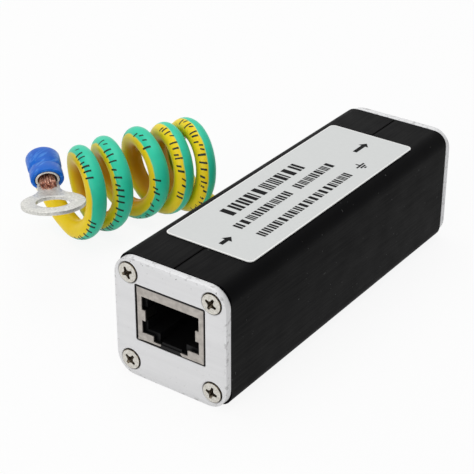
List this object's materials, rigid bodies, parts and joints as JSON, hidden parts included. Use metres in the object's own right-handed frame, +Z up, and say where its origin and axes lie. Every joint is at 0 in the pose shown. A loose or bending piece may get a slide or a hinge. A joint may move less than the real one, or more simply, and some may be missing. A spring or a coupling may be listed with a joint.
{
  "type": "ethernet surge protector",
  "caption": "Slim black box with silver end plates, a shielded network socket in each, and a coiled green and yellow earth lead with a ring terminal.",
  "frame": {"origin": "centre of the housing's underside, on the surface it stands on", "axes": "+Z up, -Y out of the plate that the picture shows, +Y along the housing to the plate that the earth lead leaves"},
  "size_m": [0.0809, 0.1096, 0.0263],
  "materials": {
    "body": "satin black anodised",
    "plate": "pale fine brushed",
    "screw": "warm nickel plate",
    "shield": "dull warm grey plated sheet",
    "moulding": "black moulding",
    "gold": "gold plated spring wire",
    "board": "green solder mask",
    "ceramic": "pale ceramic",
    "resistor": "lacquered body",
    "label": "pale grey satin film",
    "bush": "matt black",
    "insulation": "green with a yellow stripe, satin",
    "copper": "bare copper strands",
    "tinned": "bright tin plate",
    "sleeve": "blue, slightly translucent"
  },
  "bodies": {
    "root": {"left_shell": "body", "right_shell": "body", "front_plate": "plate", "rear_plate": "plate", "circuit_board": "board", "front_shield": "shield", "rear_shield": "shield", "front_insert": "moulding", "rear_insert": "moulding", "label": "label", "grommet": "bush", "inner_lead": "insulation", "inner_core": "copper", "earth_coil": "insulation", "earth_lead_tail": "insulation", "earth_lead_end": "insulation", "ring_terminal": "tinned", "terminal_sleeve": "sleeve", "stripped_core": "copper", "front_screw_1": "screw", "front_screw_2": "screw", "front_screw_3": "screw", "front_screw_4": "screw", "rear_screw_1": "screw", "rear_screw_2": "screw", "rear_screw_3": "screw", "rear_screw_4": "screw", "front_contact_1": "gold", "front_contact_2": "gold", "front_contact_3": "gold", "front_contact_4": "gold", "front_contact_5": "gold", "front_contact_6": "gold", "front_contact_7": "gold", "front_contact_8": "gold", "rear_contact_1": "gold", "rear_contact_2": "gold", "rear_contact_3": "gold", "rear_contact_4": "gold", "rear_contact_5": "gold", "rear_contact_6": "gold", "rear_contact_7": "gold", "rear_contact_8": "gold", "gas_tube_1": "ceramic", "series_resistor_1": "resistor", "suppressor_diode_1": "moulding", "gas_tube_2": "ceramic", "series_resistor_2": "resistor", "suppressor_diode_2": "moulding", "gas_tube_3": "ceramic", "series_resistor_3": "resistor", "suppressor_diode_3": "moulding", "gas_tube_4": "ceramic", "series_resistor_4": "resistor", "suppressor_diode_4": "moulding"}
  },
  "joints": []
}
